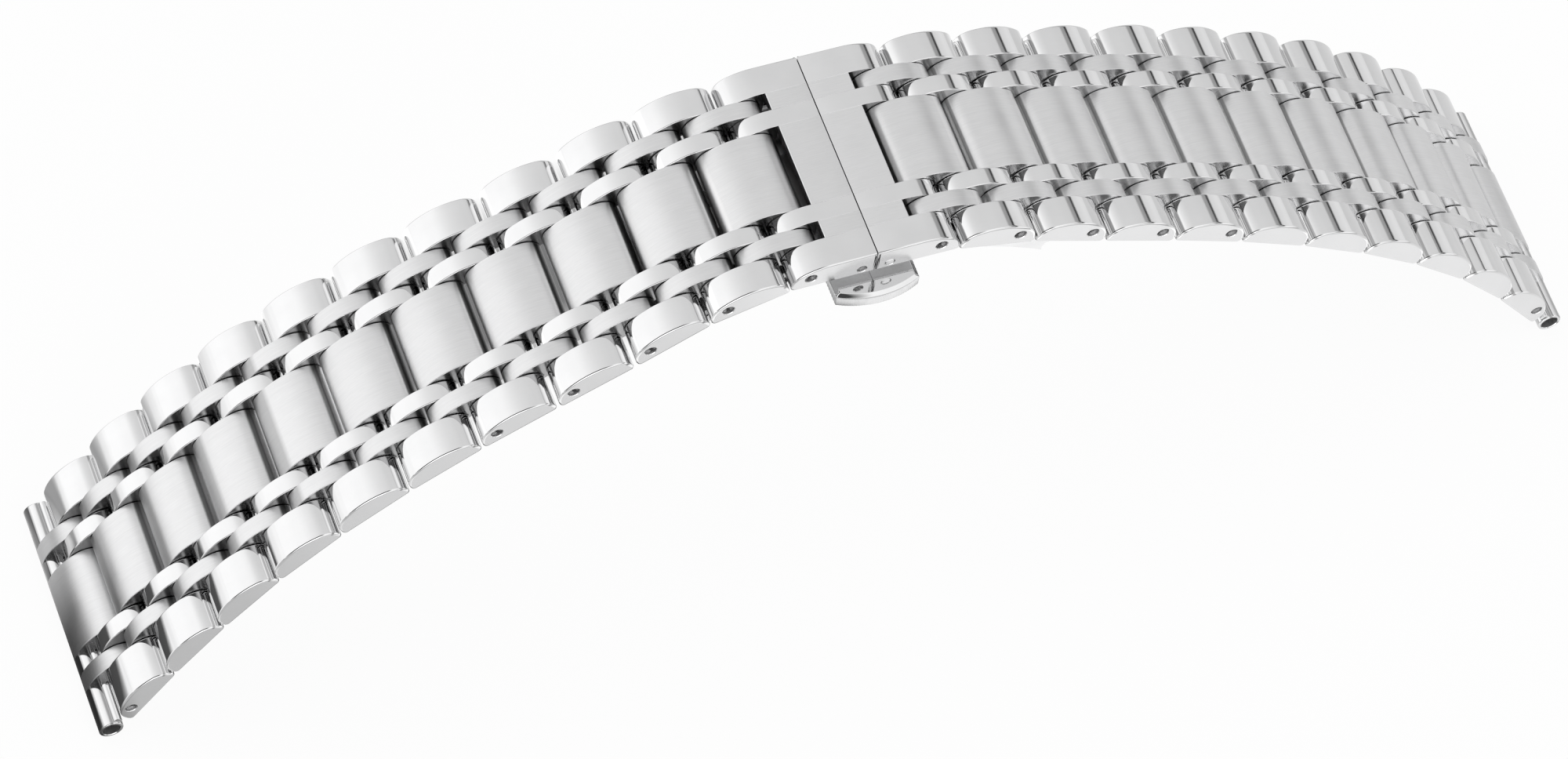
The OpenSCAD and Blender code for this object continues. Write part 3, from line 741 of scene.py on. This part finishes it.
def button(name, sign):
    """A head with a polished top and a knurled rim, and the slide behind it with its window for the hooks."""
    bm = bmesh.new()
    rings = []
    for depth, d, ridge in HEAD:
        z = -BUTTON_TOP - depth
        rings.append([bm.verts.new((x * MM, sign * y * MM, z * MM)) for x, y in button_outline(d, ridge)])
    for k in range(len(rings) - 1):
        is_rim = RIM_FIRST <= k <= RIM_LAST
        bridge(bm, rings[k], rings[k + 1], 1 if is_rim else 0, not is_rim)
    for ring in (rings[0], rings[-1]):
        bm.faces.new(ring)
    in_head = BUTTON_IN + 0.1
    rails = ((-SLIDE_W / 2, -WINDOW_X, SLIDE_IN, in_head), (WINDOW_X, SLIDE_W / 2, SLIDE_IN, in_head))
    bars = ((-WINDOW_X, WINDOW_X, SLIDE_IN, WINDOW_IN), (-WINDOW_X, WINDOW_X, WINDOW_OUT, in_head))
    for x0, x1, y0, y1 in rails + bars:
        c = [bm.verts.new((x * MM, sign * y * MM, z * MM)) for z in (-SLIDE_TOP, -SLIDE_TOP - SLIDE_T)
             for x, y in ((x0, y0), (x1, y0), (x1, y1), (x0, y1))]
        for corners in ((0, 1, 2, 3), (7, 6, 5, 4), (0, 4, 5, 1), (1, 5, 6, 2), (2, 6, 7, 3), (3, 7, 4, 0)):
            bm.faces.new([c[t] for t in corners])
    finish_mesh(bm, name + "_head", name, (BUTTON, KNURL), in_place(), replaces=name)


def coil(bm, x, z, sign):
    """A compression spring along Y, from its foot outwards to the slide."""
    turns, steps, sides = 6, 20, 10
    last = None
    for k in range(turns * steps + 1):
        a = 2 * math.pi * k / steps
        middle = SPRING_FOOT + SPRING_WIRE / 2 + (SPRING_L - SPRING_WIRE) * k / (turns * steps)
        ring = []
        for q in range(sides):
            t = 2 * math.pi * q / sides
            r = (SPRING_D - SPRING_WIRE + SPRING_WIRE * math.cos(t)) / 2
            y = middle + SPRING_WIRE / 2 * math.sin(t)
            ring.append(bm.verts.new(((x + r * math.cos(a)) * MM, sign * y * MM, (z + r * math.sin(a)) * MM)))
        if last:
            bridge(bm, last, ring)
        else:
            bm.faces.new(ring)
        last = ring
    bm.faces.new(last)


def button_springs(name, sign):
    """Two springs, which get shorter as the button goes in."""
    bm = bmesh.new()
    for x in (-SPRING_X, SPRING_X):
        coil(bm, x, -SLIDE_TOP - SLIDE_T / 2, sign)
    springs = finish_mesh(bm, name + "_coils", "base", (SPRING,), in_place(),
                          replaces=name + "_springs")
    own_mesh(springs)


# The pieces
BUTTONS = (("rear_button", 1), ("front_button", -1))
for side in (LEFT, RIGHT):
    for k in range(1, ROWS + 1):
        outer_row(side, k)
        centre_row(side, k)
    end_piece(side)
for side in (LEFT, RIGHT):
    cover(side)
for name, sign in BUTTONS:
    button(name, sign)
for name, sign in BUTTONS:
    button_springs(name, sign)

# The CAD nodes that keep their shape
for name, material in (("base_plate", PLATE), ("latch_housing", PLATE), ("base_hinge_pins", PIN),
                       ("left_arm", ARM), ("right_arm", ARM)):
    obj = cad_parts[name]
    obj.data.materials.clear()
    obj.data.materials.append(material)

# The camera of the photograph
PHOTO_W, FOCAL, SENSOR = 2000, 9059.4, 36.0
CAMERA_AT = (-135.684, -272.662, 528.036)
HEADING, TILT, ROLL = -26.0621, 30.2827, 7.3695


def set_camera():
    data = bpy.data.cameras.new("camera")
    data.sensor_width = SENSOR
    data.lens = FOCAL / PHOTO_W * SENSOR
    data.clip_start, data.clip_end = 0.05, 20.0
    camera = bpy.data.objects.new("camera", data)
    bpy.context.scene.collection.objects.link(camera)
    place = Matrix.Translation([v * MM for v in CAMERA_AT])
    for angle, axis in ((HEADING, "Z"), (TILT, "X"), (ROLL, "Z")):
        place = place @ Matrix.Rotation(math.radians(angle), 4, axis)
    camera.matrix_world = place
    bpy.context.scene.camera = camera


# The tent that the steel mirrors: degrees round Y from straight up towards +X, and brightness
TOP = 1.5
SKY = [(-180, 0.95), (-150, 1.05), (-120, 1.35), (-98, 1.46), (-72, 1.46), (-60, 1.42), (-47, 1.4),
       (-39, 1.33), (-31, 1.23), (-23, 1.14), (-15, 1.07), (0, 0.99), (10, 0.955), (30, 0.95), (40, 0.92),
       (51, 0.9), (52.5, 0.48), (58.5, 0.46), (59.5, 0.06), (63, 0.06), (64.5, 0.98), (70, 1.0), (80, 1.085),
       (93, 1.0), (100, 0.93), (130, 0.93), (160, 0.95), (180, 0.95)]


def light_studio():
    """A tent round the object, with a dark opening in front, above, and brighter cloth below the opening.
    The camera itself sees plain white."""
    world = bpy.data.worlds.new("studio")
    bpy.context.scene.world = world
    world.use_nodes = True
    shader = Shader(world.node_tree)
    x, y, z = shader.parts(shader.nodes.new("ShaderNodeTexCoord").outputs["Generated"])
    turn = shader.math("ADD", shader.product(shader.math("ARCTAN2", x, z), 0.5 / math.pi), 0.5)
    tent = shader.ramp(turn, [((deg + math.degrees(LEAN) + 180) / 360, v) for deg, v in SKY], TOP)
    opening = shader.product(shader.fall(shader.math("ABSOLUTE", shader.math("ADD", y, 0.42)), 0.24, 0.34),
                             shader.rise(z, 0.0, 0.12), shader.spread(x, 0.93, -0.4, -0.05, 0.2))
    cloth = shader.product(shader.fall(y, -0.8, -0.72), shader.rise(z, -0.5, -0.3))
    keep = shader.math("ADD", shader.math("SUBTRACT", 1.0, opening), shader.product(cloth, 0.6))
    back = shader.nodes["Background"]
    shader.links.new(tent, back.inputs["Color"])
    shader.links.new(shader.product(keep, TOP), back.inputs["Strength"])
    white = shader.nodes.new("ShaderNodeBackground")
    white.inputs["Strength"].default_value = 1.0
    shader.camera_mix(back.outputs[0], white.outputs[0], "World Output")


# The floor: brightness along X, in mm, that the steel mirrors under, behind and in front of the arch
REACH = 200
# Painted shade: the floor that the steel mirrors is darker under the arch and towards its left end
UNDER_ARCH = [(-REACH, 1.42), (-100, 1.32), (-84, 1.2), (-72, 1.0), (-62, 0.5), (-20, 0.5), (10, 0.6),
              (55, 0.7), (64, 0.86), (REACH, 0.86)]
BEHIND = [(-REACH, 1.4), (-110, 1.25), (-85, 1.12), (-72, 1.15), (50, 1.05), (64, 0.9), (REACH, 0.86)]
FRONT = [(-REACH, 0.7), (-66, 0.7), (-50, 0.75), (-38, 0.95), (-12, 1.08), (0, 1.2), (60, 1.18), (75, 1.0),
         (REACH, 0.95)]
# The middle, Y along X in mm, of the painted shadow behind the arch, which the camera sees through the gaps
PAINTED_SHADOW_LINE = [(-REACH, 2), (-63, 2), (-59, 5.2), (-47.6, 10.9), (-34, 15.7), (-20, 19.6), (-4, 23), (10, 24.2),
        (25, 22.8), (38, 19.4), (48.5, 15.6), (57.6, 10.9), (63.8, 5.3), (REACH, 2)]
FLOOR_HALF = 3.0


def floor_reflection(shader, x, y, along_x):
    """The floor as the steel mirrors it, in zones along X and Y in metres. Far off it is greyer, so that side
    faces stand out from it."""
    seen = shader.blend(shader.fall(y, -0.0125, -0.0095), along_x(UNDER_ARCH, TOP), along_x(FRONT, TOP))
    seen = shader.blend(shader.rise(y, 0.0115, 0.014), seen, along_x(BEHIND, TOP))
    away = shader.product(shader.rise(y, 0.06, 0.1), shader.rise(x, -0.1, -0.08), shader.fall(x, 0.05, 0.07))
    seen = shader.blend(shader.math("MAXIMUM", away, shader.fall(y, -0.1, -0.06)), seen, 0.4)
    # A painted shadow of the arch in front of its left half
    lean_y = shader.math("ADD", y, shader.product(x, 0.29))
    shadow = shader.product(shader.rise(lean_y, -0.0288, -0.0272), shader.fall(y, -0.004, 0.004),
                            shader.fall(x, -0.004, 0.004), shader.rise(x, -0.066, -0.058, 0.93))
    # A painted shadow that the left end mirrors as a dark place, and a greyer painted shade behind that
    oblique = shader.math("ADD", x, y)
    end_painted_shadow = shader.product(shader.rise(oblique, -0.085, -0.0775), shader.fall(oblique, -0.068, -0.062),
                           shader.fall(x, -0.066, -0.062), shader.fall(y, 0.0125, 0.023, 0.93))
    rear = shader.product(shader.rise(y, 0.01, 0.013, 0.6), shader.fall(y, 0.018, 0.03),
                          shader.rise(x, -0.1, -0.085), shader.fall(x, -0.064, -0.058))
    # All the painted shadow and shade on the floor that the steel mirrors
    dark = shader.math("MAXIMUM", shadow, shader.math("MAXIMUM", end_painted_shadow, rear))
    return shader.blend(dark, seen, SHADE_GREY)


def lay_floor():
    """A white floor with a faint real shadow, and a soft painted shadow behind the arch."""
    mesh = bpy.data.meshes.new("floor")
    bm = bmesh.new()
    corners = ((-1, -1), (1, -1), (1, 1), (-1, 1))
    bm.faces.new([bm.verts.new((x * FLOOR_HALF, y * FLOOR_HALF, 0)) for x, y in corners])
    bm.to_mesh(mesh)
    bm.free()
    floor = bpy.data.objects.new("floor", mesh)
    bpy.context.scene.collection.objects.link(floor)
    material, shader, bsdf = new_material("floor_white")
    x, y, _ = shader.parts(shader.nodes.new("ShaderNodeTexCoord").outputs["Object"])

    def along_x(stops, top):
        return shader.ramp(shader.rise(x, -REACH * MM, REACH * MM),
                           [((at_x + REACH) / (2 * REACH), v) for at_x, v in stops], top)

    bsdf.inputs["Base Color"].default_value = (0.9, 0.9, 0.9, 1)
    bsdf.inputs["Roughness"].default_value = 0.9
    bsdf.inputs["Specular IOR Level"].default_value = 0.0
    # A painted shadow behind the arch: the floor's glow is dimmed along this line, seen through the gaps
    furthest = 30
    middle = shader.product(along_x(PAINTED_SHADOW_LINE, furthest), furthest * MM)
    across = shader.math("ABSOLUTE", shader.math("SUBTRACT", y, middle))
    painted_cast_shadow = shader.product(shader.fall(across, 0.003, 0.01, 0.85), shader.rise(x, -0.062, -0.054),
                          shader.fall(x, 0.054, 0.062))
    glow = shader.nodes.new("ShaderNodeEmission")
    shader.links.new(shader.math("SUBTRACT", 1.0, painted_cast_shadow), glow.inputs["Strength"])
    plain = shader.nodes.new("ShaderNodeMixShader")
    plain.inputs[0].default_value = 0.93
    shader.links.new(bsdf.outputs[0], plain.inputs[1])
    shader.links.new(glow.outputs[0], plain.inputs[2])
    mirrored = shader.nodes.new("ShaderNodeEmission")
    shader.links.new(floor_reflection(shader, x, y, along_x), mirrored.inputs["Color"])
    mirrored.inputs["Strength"].default_value = TOP
    shader.camera_mix(mirrored.outputs[0], plain.outputs[0], "Material Output")
    mesh.materials.append(material)


set_camera()
light_studio()
lay_floor()
bpy.context.scene.view_settings.view_transform = "Standard"
